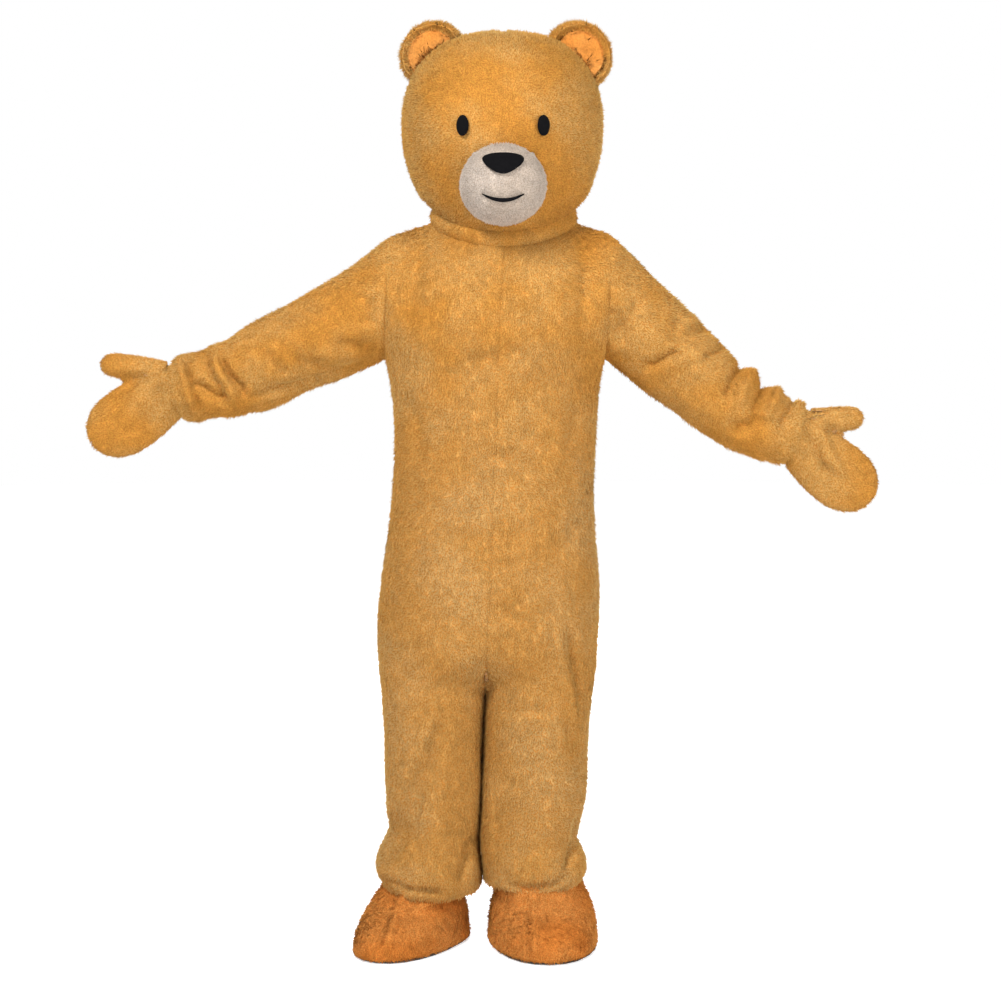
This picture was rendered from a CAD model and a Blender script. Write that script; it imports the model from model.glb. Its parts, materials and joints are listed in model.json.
# %% [markdown]
# A bear mascot costume: a plush jumpsuit that zips up behind, a foam-backed head with stuffed ears
# and muzzle, two mittens and two boots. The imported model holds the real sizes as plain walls. This
# script gives each wall its cloth, folds, pile, felt, sewing and metal, in the same frame.

import json
import math

import bmesh
import bpy
import numpy as np
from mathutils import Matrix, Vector, kdtree, noise
from mathutils.bvhtree import BVHTree

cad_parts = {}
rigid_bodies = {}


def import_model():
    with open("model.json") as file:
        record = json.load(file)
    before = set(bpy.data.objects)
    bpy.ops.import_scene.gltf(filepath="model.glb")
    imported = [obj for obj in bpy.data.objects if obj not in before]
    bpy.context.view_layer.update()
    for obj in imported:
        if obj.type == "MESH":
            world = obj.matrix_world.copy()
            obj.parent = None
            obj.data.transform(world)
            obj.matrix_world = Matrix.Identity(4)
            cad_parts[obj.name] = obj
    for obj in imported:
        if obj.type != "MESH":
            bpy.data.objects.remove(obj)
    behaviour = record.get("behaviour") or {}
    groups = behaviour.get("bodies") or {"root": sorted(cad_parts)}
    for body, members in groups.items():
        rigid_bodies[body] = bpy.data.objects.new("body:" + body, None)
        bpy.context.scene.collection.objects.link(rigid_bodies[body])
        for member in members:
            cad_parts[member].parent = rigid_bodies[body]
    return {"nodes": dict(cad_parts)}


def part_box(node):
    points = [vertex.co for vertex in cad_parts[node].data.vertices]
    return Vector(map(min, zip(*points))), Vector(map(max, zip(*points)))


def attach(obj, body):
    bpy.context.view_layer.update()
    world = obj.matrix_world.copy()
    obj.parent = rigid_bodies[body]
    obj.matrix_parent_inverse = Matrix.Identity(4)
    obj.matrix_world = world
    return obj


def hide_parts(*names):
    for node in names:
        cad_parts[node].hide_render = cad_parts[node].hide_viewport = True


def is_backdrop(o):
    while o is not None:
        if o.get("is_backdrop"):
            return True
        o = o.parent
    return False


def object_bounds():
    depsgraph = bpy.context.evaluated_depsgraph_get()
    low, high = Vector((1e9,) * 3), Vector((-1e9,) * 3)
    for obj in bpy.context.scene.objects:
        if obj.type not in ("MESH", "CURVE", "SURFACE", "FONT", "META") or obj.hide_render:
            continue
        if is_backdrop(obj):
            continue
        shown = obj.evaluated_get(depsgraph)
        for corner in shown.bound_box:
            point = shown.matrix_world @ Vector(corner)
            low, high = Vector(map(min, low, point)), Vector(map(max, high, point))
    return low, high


for leftover in list(bpy.data.objects):
    bpy.data.objects.remove(leftover)
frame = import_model()
nodes = frame["nodes"]
cad_low, cad_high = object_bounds()
FLOOR_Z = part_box("boot_sole_left")[0][2]
print("packed model:", len(nodes), "nodes, floor at", round(FLOOR_Z, 3))

# %% [markdown]
# The costume stands facing -Y and was seen from about four and a half metres, at the height of its
# chest, through a long lens. A camera that is set first lets every later step be judged in one view.

# %% Camera
EYE_HEIGHT = 1.180
EYE_DISTANCE = 4.600
EYE_X = 0.007
SENSOR_WIDTH = 36.0
FRAME_PIXELS = 1001
FOCAL_IN_FRAMES = 2300 / FRAME_PIXELS
HORIZON_ABOVE_MIDDLE = 150 / FRAME_PIXELS
SHIFT_DOWN = 110 / FRAME_PIXELS

camera_data = bpy.data.cameras.new("studio_camera")
camera_data.sensor_width = SENSOR_WIDTH
camera_data.lens = SENSOR_WIDTH * FOCAL_IN_FRAMES
camera = bpy.data.objects.new("studio_camera", camera_data)
camera.location = (EYE_X, -EYE_DISTANCE, EYE_HEIGHT + FLOOR_Z)
tilt_down = math.atan((HORIZON_ABOVE_MIDDLE - SHIFT_DOWN) / FOCAL_IN_FRAMES)
camera.rotation_euler = (math.pi / 2 - tilt_down, 0, 0)
camera_data.shift_y = -SHIFT_DOWN
bpy.context.scene.collection.objects.link(camera)
bpy.context.scene.camera = camera
print("lens", round(camera_data.lens, 1), "mm")

# %% [markdown]
# A bmesh becomes a piece in one place, so that every piece is linked, named and shaded alike. A
# modifier is read through the evaluated copy, which leaves plain geometry behind. Points and normals
# are read as arrays, because the cloth has tens of thousands of them.

# %% Making pieces
def new_piece(name, mesh):
    piece = bpy.data.objects.new(name, mesh)
    bpy.context.scene.collection.objects.link(piece)
    return piece


def from_bmesh(name, bm, smooth=True):
    mesh = bpy.data.meshes.new(name)
    bm.to_mesh(mesh)
    bm.free()
    mesh.polygons.foreach_set("use_smooth", [smooth] * len(mesh.polygons))
    return new_piece(name, mesh)


def apply_modifiers(piece):
    bpy.context.view_layer.update()
    shaped = piece.evaluated_get(bpy.context.evaluated_depsgraph_get())
    mesh = bpy.data.meshes.new_from_object(shaped)
    piece.modifiers.clear()
    old = piece.data
    piece.data = mesh
    bpy.data.meshes.remove(old)
    mesh.name = piece.name
    return mesh


def points_of(mesh):
    flat = np.empty(len(mesh.vertices) * 3, np.float32)
    mesh.vertices.foreach_get("co", flat)
    return flat.reshape(-1, 3).astype(float)


def normals_of(mesh):
    flat = np.empty(len(mesh.vertices) * 3, np.float32)
    mesh.vertex_normals.foreach_get("vector", flat)
    return flat.reshape(-1, 3).astype(float)


def set_points(mesh, points):
    mesh.vertices.foreach_set("co", points.astype(np.float32).ravel())
    mesh.update()


def unit(vectors):
    return vectors / np.maximum(np.linalg.norm(vectors, axis=-1, keepdims=True), 1e-9)


def ramp(values, start, end):
    t = np.clip((values - start) / (end - start), 0, 1)
    return t * t * (3 - 2 * t)


def store(mesh, name, kind, values):
    layer = mesh.attributes.get(name) or mesh.attributes.new(name, kind, "POINT")
    key = "vector" if kind == "FLOAT_VECTOR" else "value"
    layer.data.foreach_set(key, np.asarray(values, np.float32).ravel())


print("helpers for pieces, points and attributes are ready")

# %% [markdown]
# Plush is a knitted backing with a dense cut pile. Seen from two steps away its colour comes from
# three things: the dyed tips, the darker depth between the locks, and broad patches where the pile
# lies another way and catches the light differently. So each plush has a tip, a warm and a deep
# dye. They are written as the eye reads them, and turned into the linear values that light needs.

# %% Dyes
def linear(red, green, blue):
    channels = [c / 255 for c in (red, green, blue)]
    return [c / 12.92 if c <= 0.04045 else ((c + 0.055) / 1.055) ** 2.4 for c in channels] + [1.0]


# tip, warm, deep
HONEY_DYES = linear(206, 168, 100), linear(203, 146, 62), linear(176, 113, 48)
RUST_DYES = linear(214, 152, 80), linear(206, 130, 56), linear(180, 100, 40)
LINING_DYES = linear(208, 152, 84), linear(204, 132, 58), linear(180, 108, 44)
CREAM_DYES = linear(212, 201, 190), linear(201, 186, 170), linear(172, 154, 138)
TAN_TIP, TAN_WARM = linear(194, 162, 104), linear(192, 148, 80)
print("dyes: honey, rust, lining, cream and tan")

# %% [markdown]
# Materials are trees of nodes. A few helpers keep them short: one feeds a node's sockets with
# plain values or with other nodes' results, and the rest add the mixes and noises used throughout.

# %% Node helpers
def feed(tree, node, inputs):
    for socket, value in inputs.items():
        if isinstance(value, bpy.types.NodeSocket):
            tree.links.new(value, node.inputs[socket])
        else:
            node.inputs[socket].default_value = value


def add_node(tree, kind, inputs=None, **settings):
    node = tree.nodes.new(kind)
    for name, value in settings.items():
        setattr(node, name, value)
    feed(tree, node, inputs or {})
    return node


def maths(tree, how, *values):
    return add_node(tree, "ShaderNodeMath", dict(enumerate(values)), operation=how).outputs[0]


def mix_colour(tree, factor, first, second, how="MIX"):
    inputs = {0: factor, 6: first, 7: second}
    return add_node(tree, "ShaderNodeMix", inputs, data_type="RGBA", blend_type=how).outputs[2]


def between(tree, value, low, high, to_low=0.0, to_high=1.0):
    inputs = {0: value, 1: low, 2: high, 3: to_low, 4: to_high}
    return add_node(tree, "ShaderNodeMapRange", inputs, interpolation_type="SMOOTHSTEP").outputs[0]


def noise_at(tree, vector, scale, detail=2.0, rough=0.5):
    inputs = {"Vector": vector, "Scale": scale, "Detail": detail, "Roughness": rough}
    return add_node(tree, "ShaderNodeTexNoise", inputs).outputs["Fac"]


def object_place(tree):
    return add_node(tree, "ShaderNodeTexCoord").outputs["Object"]


def attribute(tree, name):
    return add_node(tree, "ShaderNodeAttribute", attribute_name=name).outputs["Fac"]


# %% [markdown]
# One node group colours every plush here, so that all of them age alike. Broad patches choose
# between the tip and the warm dye. The height in the lock moves it up from the deep dye, each lock
# has a shade of its own, and clumps and curls lighten or darken the whole.

# %% Pile colour group
PATCH_SCALE, CLUMP_SCALE, CURL_SCALE = 7.0, 55.0, 290.0
PATCH_EDGE, CLUMP_EDGE, CURL_EDGE = (0.36, 0.64), (0.3, 0.7), (0.32, 0.68)
CLUMP_LIGHT, CURL_LIGHT = (0.90, 1.06), (0.85, 1.12)
OWN_SHADE, DEEP_UP_TO = 0.45, 0.75

pile_group = bpy.data.node_groups.new("pile_colour", "ShaderNodeTree")
for label in ("Tip", "Warm", "Deep"):
    pile_group.interface.new_socket(label, in_out="INPUT", socket_type="NodeSocketColor")
pile_group.interface.new_socket("Color", in_out="OUTPUT", socket_type="NodeSocketColor")
pile_in, pile_out = (pile_group.nodes.new("NodeGroup" + end) for end in ("Input", "Output"))
tip, warm, deep = (pile_in.outputs[label] for label in ("Tip", "Warm", "Deep"))
place = object_place(pile_group)
patches = between(pile_group, noise_at(pile_group, place, PATCH_SCALE, detail=3.0), *PATCH_EDGE)
brushed = mix_colour(pile_group, patches, tip, warm)
own_shade = between(pile_group, attribute(pile_group, "shade"), 0.0, 1.0, 0.0, OWN_SHADE)
locks = mix_colour(pile_group, own_shade, brushed, warm)
height = between(pile_group, attribute(pile_group, "tip"), 0.0, DEEP_UP_TO)
rooted = mix_colour(pile_group, height, deep, locks)
clumps = between(pile_group, noise_at(pile_group, place, CLUMP_SCALE), *CLUMP_EDGE, *CLUMP_LIGHT)
curls = between(pile_group, noise_at(pile_group, place, CURL_SCALE, detail=1.0), *CURL_EDGE, *CURL_LIGHT)
light = maths(pile_group, "MULTIPLY", clumps, curls)
grey = add_node(pile_group, "ShaderNodeCombineColor", {0: light, 1: light, 2: light}).outputs[0]
feed(pile_group, pile_out, {"Color": mix_colour(pile_group, 1.0, rooted, grey, "MULTIPLY")})
print("pile group:", len(pile_group.nodes), "nodes")

# %% [markdown]
# Plush is rough, with hardly any gloss and a soft sheen at grazing angles where the fibre ends
# catch the light. The body's pile is honey at the shoulders and drifts to tan lower down, so its
# material mixes the dyes by height, with slow noise that breaks up the border.

# %% Plush materials
PLUSH_ROUGH, PLUSH_SHEEN, PLUSH_GLOSS, SHEEN_SPREAD = 0.92, 0.28, 0.08, 0.45
DRIFT_SCALE, DRIFT_REACH = 4.0, 0.5
TAN_BELOW, HONEY_ABOVE = -0.28, 0.12


def principled(name, roughness, sheen=0.0, specular=0.3, metallic=0.0):
    material = bpy.data.materials.new(name)
    material.use_nodes = True
    shader = material.node_tree.nodes["Principled BSDF"]
    gloss = {"Roughness": roughness, "Specular IOR Level": specular, "Metallic": metallic}
    feed(material.node_tree, shader, {**gloss, "Sheen Weight": sheen})
    return material, material.node_tree, shader


def plush(name, dyes, low_tip=None, low_warm=None):
    tip, warm, deep = dyes
    material, tree, shader = principled(name, PLUSH_ROUGH, PLUSH_SHEEN, PLUSH_GLOSS)
    dyed = {"Tip": tip, "Warm": warm, "Deep": deep}
    if low_tip:
        place = object_place(tree)
        height = add_node(tree, "ShaderNodeSeparateXYZ", {0: place}).outputs["Z"]
        drift = noise_at(tree, place, DRIFT_SCALE)
        upper = between(
            tree, maths(tree, "MULTIPLY_ADD", drift, DRIFT_REACH, height), TAN_BELOW, HONEY_ABOVE
        )
        dyed["Tip"] = mix_colour(tree, upper, low_tip, tip)
        dyed["Warm"] = mix_colour(tree, upper, low_warm, warm)
    colour = add_node(tree, "ShaderNodeGroup", dyed, node_tree=pile_group).outputs["Color"]
    feed(tree, shader, {"Base Color": colour, "Sheen Roughness": SHEEN_SPREAD, "Sheen Tint": tip})
    return material


HONEY = plush("honey_plush", HONEY_DYES)
BODY = plush("body_plush", HONEY_DYES, TAN_TIP, TAN_WARM)
RUST = plush("rust_plush", RUST_DYES)
LINING = plush("lining_plush", LINING_DYES)
CREAM = plush("cream_plush", CREAM_DYES)
print("plush materials:", ", ".join(m.name for m in (HONEY, BODY, RUST, LINING, CREAM)))

# %% [markdown]
# The plain finishes share one recipe: two close colours mixed by a fine grain, slow wear over
# them, a roughness that follows the grain, and a shallow bump. The grain's size makes the
# difference between a knitted backing, felt, a rubbed sole, woven tape, thread and old brass.

# %% Backing, felt, sole, tape and metal
GRAIN_EDGE, WORN_EDGE, WORN_SHARE = (0.3, 0.7), (0.35, 0.75), 0.35
WORN_COARSER, GRAIN_ROUGH, GRAIN_DEEP = 12, 0.08, 0.001


def grained(name, first, second, scale, roughness, bump, stretch=None, **looks):
    material, tree, shader = principled(name, roughness, **looks)
    place = object_place(tree)
    if stretch:
        place = add_node(tree, "ShaderNodeMapping", {"Vector": place, "Scale": stretch}).outputs[0]
    grain = noise_at(tree, place, scale, detail=4.0, rough=0.6)
    worn = between(tree, noise_at(tree, place, scale / WORN_COARSER), *WORN_EDGE, 0.0, WORN_SHARE)
    colour = mix_colour(tree, between(tree, grain, *GRAIN_EDGE), first, second)
    rough = (roughness - GRAIN_ROUGH, min(1.0, roughness + GRAIN_ROUGH))
    relief = add_node(
        tree, "ShaderNodeBump", {"Strength": bump, "Distance": GRAIN_DEEP, "Height": grain}
    )
    feed(tree, shader, {
        "Base Color": mix_colour(tree, worn, colour, second),
        "Roughness": between(tree, grain, *GRAIN_EDGE, *rough),
        "Normal": relief.outputs["Normal"],
    })
    return material


# name, two colours, grain scale, roughness, bump
BACKING = grained("knit_backing", linear(196, 150, 98), linear(170, 122, 74), 900, 0.9, 0.4, sheen=0.1)
FELT = grained(
    "black_felt", linear(6, 6, 7), linear(18, 17, 19), 1400, 0.92, 0.5, sheen=0.01, specular=0.06
)
SOLE = grained("dark_sole", linear(46, 42, 40), linear(70, 62, 56), 420, 0.75, 0.6)
TAPE = grained(
    "zip_tape_weave", linear(206, 150, 84), linear(176, 122, 62), 1600, 0.85, 0.6, (1, 1, 0.3)
)
METAL = grained(
    "zip_brass", linear(186, 160, 104), linear(150, 126, 78), 700, 0.34, 0.15, specular=0.5, metallic=1.0
)
THREAD = grained("sewing_thread", linear(190, 132, 66), linear(160, 106, 50), 2200, 0.7, 0.3, sheen=0.2)
print("plain finishes:", ", ".join(m.name for m in (BACKING, FELT, SOLE, TAPE, METAL, THREAD)))

# %% [markdown]
# Each cloth panel in the model is a wall with an outer face, an inner face and narrow rims. Rims
# that face another panel's rim across a seam are set aside. The outer face is then the largest
# region found by walking from face to face and stopping at sharp outward corners, and a rim that
# lies flat in it comes back. It is subdivided, and becomes the sheet that folds are pressed into.

# %% Taking the cloth from a wall
MERGE = 1e-5
CORNER, HAND_CORNER, NOTCH = math.radians(55), math.radians(78), math.radians(80)
FLAT_JOIN = math.radians(25)
SQUARE_JOIN = math.radians(60)


def welded(node_name):
    bm = bmesh.new()
    bm.from_mesh(nodes[node_name].data)
    bmesh.ops.remove_doubles(bm, verts=bm.verts, dist=MERGE)
    return bm


def squared(bm):
    bmesh.ops.join_triangles(
        bm, faces=bm.faces, angle_face_threshold=FLAT_JOIN, angle_shape_threshold=SQUARE_JOIN
    )
    return bm


def smooth_regions(bm, skipped, corner):
    left, regions = set(bm.faces) - set(skipped), []
    while left:
        region = [left.pop()]
        for face in region:
            for edge in face.edges:
                if len(edge.link_faces) == 2 and -NOTCH < edge.calc_face_angle_signed(0) < corner:
                    for other in edge.link_faces:
                        if other in left:
                            left.discard(other)
                            region.append(other)
        regions.append(region)
    return sorted(regions, key=lambda region: -sum(face.calc_area() for face in region))


def subdivided(name, bm, levels):
    piece = from_bmesh(name, bm)
    finer = piece.modifiers.new("finer", "SUBSURF")
    finer.boundary_smooth = "PRESERVE_CORNERS"
    finer.levels = finer.render_levels = levels
    apply_modifiers(piece)
    return piece


def seam_faces(node_name, bm):
    """The rims that face another panel's rim across a sewn gap."""
    others = []
    for other in family_of[node_name]:
        if other != node_name:
            armhole = "sleeve" in node_name + other
            gap, opposite = (ARMHOLE_GAP, FACING_STRAIGHT) if armhole else (SEWN_GAP, OPPOSITE)
            others.append((wall_of[other], gap, opposite))
    found = []
    for face in bm.faces:
        middle = face.calc_center_median()
        for other, gap, opposite in others:
            place, normal, _, _ = other.find_nearest(middle, gap)
            if place and normal.dot(face.normal) < -opposite:
                found.append(face)
                break
    return found


def flat_neighbours(face, outer):
    flat = [edge for edge in face.edges if edge.calc_face_angle(math.pi) < FLAT_ENOUGH]
    return sum(other in outer for edge in flat for other in edge.link_faces if other is not face)


def outer_sheet(node_name, levels, corner=CORNER):
    bm = welded(node_name)
    rims = seam_faces(node_name, bm)
    outer = set(smooth_regions(bm, rims, corner)[0])
    for face in rims * 2:
        if face not in outer and flat_neighbours(face, outer) > 1:
            outer.add(face)
    bmesh.ops.delete(bm, geom=[face for face in bm.faces if face not in outer], context="FACES")
    return subdivided(node_name + "_cloth", squared(bm), levels)


def whole_form(node_name, levels, firmness=0.35):
    bm = squared(welded(node_name))
    crease = bm.edges.layers.float.new("crease_edge")
    for edge in bm.edges:
        if edge.calc_face_angle(0) > CORNER:
            edge[crease] = firmness
    return subdivided(node_name + "_cloth", bm, levels)


SIDES = ("left", "right")
PANELS = [f"body_{face}_{side}" for face in ("front", "back") for side in SIDES]
PANELS += [f"sleeve_{side}" for side in SIDES]
MITTENS = [f"mitten_{face}_{side}" for face in ("palm", "back") for side in SIDES]
GORES = [f"{part}_{side}" for part in ("face", "head_back") for side in SIDES]
BOOTS = [f"boot_{part}_{side}" for part in ("outer", "inner") for side in SIDES]
EARS = [f"ear_{part}_{side}" for part in ("shell", "lining") for side in SIDES]

SEWN_TOGETHER = (PANELS + GORES + ["neck_band"], MITTENS, BOOTS)
SEWN_GAP, OPPOSITE = 0.0012, 0.7
ARMHOLE_GAP, FACING_STRAIGHT = 0.0046, 0.91
FLAT_ENOUGH = math.radians(40)
family_of = {name: family for family in SEWN_TOGETHER for name in family}
wall_of = {}
for name in family_of:
    bm = welded(name)
    wall_of[name] = BVHTree.FromBMesh(bm)
    bm.free()

LEVELS, SLEEVE_LEVELS = 2, 3
cloth = {name: outer_sheet(name, LEVELS) for name in PANELS[:4] + GORES + BOOTS + ["neck_band"]}
cloth.update({name: outer_sheet(name, LEVELS, HAND_CORNER) for name in MITTENS})
cloth.update({name: outer_sheet(name, SLEEVE_LEVELS) for name in PANELS[4:]})
cloth.update({name: whole_form(name, LEVELS) for name in EARS + ["muzzle"]})
for name, piece in cloth.items():
    area = sum(face.area for face in piece.data.polygons)
    print(name, len(piece.data.vertices), "points,", round(area, 3), "m2")

# %% [markdown]
# Panels that meet at a seam have to sink together, or a slit opens between them. Every open edge is
# sampled a millimetre apart. Each end point then finds its neighbours' edges, takes the mean of all
# their normals, and moves onto their common line.

# %% Seams
SAMPLE_STEP = 0.001
SEAM_REACH, CROWN_REACH = 0.0065, 0.014
SEAM_BLEND = 0.022
SEAM_PULL = 0.62


def tree_of(points):
    tree = kdtree.KDTree(len(points))
    for index, point in enumerate(points):
        tree.insert(point, index)
    tree.balance()
    return tree


def edge_points(mesh):
    bm = bmesh.new()
    bm.from_mesh(mesh)
    open_edge = np.array([vertex.is_boundary for vertex in bm.verts])
    bm.free()
    return np.flatnonzero(open_edge)


def edge_samples(mesh):
    bm = bmesh.new()
    bm.from_mesh(mesh)
    bm.normal_update()
    places, normals = [], []
    for edge in bm.edges:
        if edge.is_boundary:
            first, last = edge.verts
            steps = max(1, round(edge.calc_length() / SAMPLE_STEP))
            for step in range(steps + 1):
                places.append(first.co.lerp(last.co, step / steps))
                normals.append(first.normal.lerp(last.normal, step / steps))
    bm.free()
    return np.array(places), np.array(normals)


edge_of, samples, sample_tree = {}, {}, {}
for name in family_of:
    edge_of[name] = edge_points(cloth[name].data)
    samples[name] = edge_samples(cloth[name].data)
    sample_tree[name] = tree_of(samples[name][0])

seam_line, seam_normal, own_tree = {}, {}, {}
for name, family in family_of.items():
    ends = points_of(cloth[name].data)[edge_of[name]]
    facing = normals_of(cloth[name].data)[edge_of[name]]
    line, shared = ends.copy(), facing.copy()
    reach = CROWN_REACH if name in GORES else SEAM_REACH
    for index, end in enumerate(ends):
        met = []
        for other in family:
            if other != name:
                _, found, distance = sample_tree[other].find(end)
                if distance < reach:
                    met.append(samples[other][0][found])
                    shared[index] += samples[other][1][found]
        if met:
            line[index] = end + (np.mean(met, axis=0) - end) * SEAM_PULL
    seam_line[name], seam_normal[name], own_tree[name] = line, unit(shared), tree_of(ends)
print("seam points:", sum(len(line) for line in seam_line.values()))


def seam_nearest(name, points):
    """For each point, the nearest end point of its own panel, and how far away it is."""
    found = [own_tree[name].find(point) for point in points]
    return np.array([index for _, index, _ in found]), np.array([distance for _, _, distance in found])


# %% [markdown]
# Soft folds are pressed by hand into the sheet: each has a line, a width and a depth. A trough goes
# in, a ridge comes out, and both fade at their ends. Lines are given in metres along X and above
# the floor, on the front, the back or all round. The sleeves are too long for the arms, so they
# bunch at the cuffs and break below the armholes. The legs blouse over the boots.

# %% Folds
TROUGH, RIDGE = -1, 1
FRONT, BACK, ROUND = -1, 1, 0

# A fold presses every piece whose name starts so. Its row holds where it is seen from, trough or
# ridge, width, depth, and its line as points (across, above the floor).
SLEEVE_FOLDS = {
    "sleeve_left": [
        (FRONT, TROUGH, 0.010, 0.010, [(-0.600, 1.128), (-0.562, 1.090), (-0.530, 1.074)]),
        (FRONT, TROUGH, 0.007, 0.008, [(-0.552, 1.182), (-0.530, 1.138), (-0.502, 1.106), (-0.496, 1.074)]),
        (ROUND, TROUGH, 0.008, 0.007, [(-0.584, 1.190), (-0.564, 1.138), (-0.543, 1.102), (-0.530, 1.060)]),
        (ROUND, RIDGE, 0.009, 0.005, [(-0.566, 1.190), (-0.546, 1.138), (-0.522, 1.098), (-0.514, 1.060)]),
        (ROUND, TROUGH, 0.008, 0.006, [(-0.622, 1.180), (-0.604, 1.130), (-0.590, 1.080), (-0.584, 1.050)]),
        (ROUND, RIDGE, 0.009, 0.005, [(-0.636, 1.180), (-0.620, 1.130), (-0.606, 1.080), (-0.600, 1.050)]),
        (FRONT, TROUGH, 0.008, 0.007, [(-0.498, 1.080), (-0.450, 1.094), (-0.388, 1.106), (-0.330, 1.124)]),
        (FRONT, TROUGH, 0.012, 0.006, [(-0.470, 1.110), (-0.420, 1.104), (-0.300, 1.124), (-0.248, 1.142)]),
        (FRONT, TROUGH, 0.018, 0.009, [(-0.400, 1.180), (-0.370, 1.146), (-0.300, 1.140), (-0.234, 1.160)]),
        (FRONT, RIDGE, 0.016, 0.005, [(-0.350, 1.190), (-0.330, 1.166), (-0.290, 1.156), (-0.250, 1.168)]),
        (FRONT, TROUGH, 0.012, 0.006, [(-0.320, 1.200), (-0.270, 1.184), (-0.234, 1.176)]),
        (FRONT, TROUGH, 0.016, 0.006, [(-0.262, 1.300), (-0.256, 1.260), (-0.258, 1.220)]),
        (FRONT, TROUGH, 0.014, 0.005, [(-0.470, 1.190), (-0.430, 1.150), (-0.410, 1.120)]),
        (BACK, TROUGH, 0.018, 0.009, [(-0.250, 1.190), (-0.350, 1.150), (-0.470, 1.130)]),
        (BACK, RIDGE, 0.016, 0.005, [(-0.270, 1.220), (-0.360, 1.180), (-0.450, 1.160)]),
        (BACK, TROUGH, 0.009, 0.009, [(-0.560, 1.180), (-0.534, 1.120), (-0.500, 1.080)]),
        (BACK, TROUGH, 0.008, 0.007, [(-0.500, 1.090), (-0.430, 1.110), (-0.360, 1.130)]),
    ],
    "sleeve_right": [
        (FRONT, TROUGH, 0.009, 0.012, [(0.276, 1.150), (0.304, 1.150), (0.352, 1.178), (0.372, 1.186)]),
        (FRONT, TROUGH, 0.013, 0.007, [(0.350, 1.198), (0.392, 1.222), (0.430, 1.232), (0.470, 1.224)]),
        (FRONT, RIDGE, 0.012, 0.004, [(0.350, 1.222), (0.400, 1.246), (0.440, 1.252)]),
        (FRONT, TROUGH, 0.009, 0.008, [(0.398, 1.160), (0.440, 1.184), (0.466, 1.202), (0.500, 1.212)]),
        (ROUND, TROUGH, 0.009, 0.009, [(0.446, 1.080), (0.470, 1.130), (0.504, 1.170), (0.540, 1.190)]),
        (ROUND, RIDGE, 0.010, 0.006, [(0.464, 1.060), (0.496, 1.120), (0.524, 1.150), (0.560, 1.170)]),
        (ROUND, TROUGH, 0.008, 0.009, [(0.500, 1.050), (0.522, 1.096), (0.552, 1.140), (0.570, 1.160)]),
        (ROUND, RIDGE, 0.009, 0.006, [(0.520, 1.030), (0.548, 1.080), (0.580, 1.130), (0.590, 1.150)]),
        (ROUND, TROUGH, 0.008, 0.006, [(0.552, 1.020), (0.570, 1.050), (0.596, 1.090), (0.610, 1.120)]),
        (FRONT, TROUGH, 0.014, 0.010, [(0.454, 1.020), (0.500, 1.032), (0.530, 1.060)]),
        (FRONT, TROUGH, 0.012, 0.007, [(0.226, 1.270), (0.244, 1.220), (0.240, 1.180)]),
        (FRONT, TROUGH, 0.014, 0.007, [(0.232, 1.200), (0.256, 1.236), (0.284, 1.290)]),
        (FRONT, TROUGH, 0.016, 0.006, [(0.340, 1.190), (0.356, 1.230), (0.366, 1.260)]),
        (BACK, TROUGH, 0.016, 0.009, [(0.280, 1.160), (0.360, 1.150), (0.450, 1.170)]),
        (BACK, RIDGE, 0.014, 0.005, [(0.290, 1.200), (0.360, 1.190), (0.440, 1.200)]),
        (BACK, TROUGH, 0.012, 0.007, [(0.400, 1.100), (0.440, 1.140), (0.500, 1.160)]),
    ],
}
HAND_FOLDS = {
    "mitten_palm_right": [
        (FRONT, TROUGH, 0.008, 0.008, [(0.616, 1.064), (0.626, 1.016), (0.640, 0.976), (0.676, 0.908)]),
        (FRONT, RIDGE, 0.009, 0.005, [(0.636, 1.060), (0.646, 1.020), (0.660, 0.980), (0.692, 0.920)]),
        (FRONT, TROUGH, 0.007, 0.003, [(0.640, 1.046), (0.656, 1.030), (0.676, 1.020)]),
    ],
    "mitten_palm_left": [
        (FRONT, TROUGH, 0.016, 0.005, [(-0.660, 1.130), (-0.690, 1.080), (-0.730, 1.000)]),
        (FRONT, TROUGH, 0.010, 0.004, [(-0.700, 1.140), (-0.740, 1.110), (-0.770, 1.090)]),
    ],
    "mitten_back": [
        (BACK, TROUGH, 0.014, 0.005, [(-0.660, 1.120), (-0.700, 1.080), (-0.740, 1.030)]),
        (BACK, TROUGH, 0.012, 0.005, [(0.620, 1.030), (0.650, 0.990), (0.690, 0.940)]),
    ],
}
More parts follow.
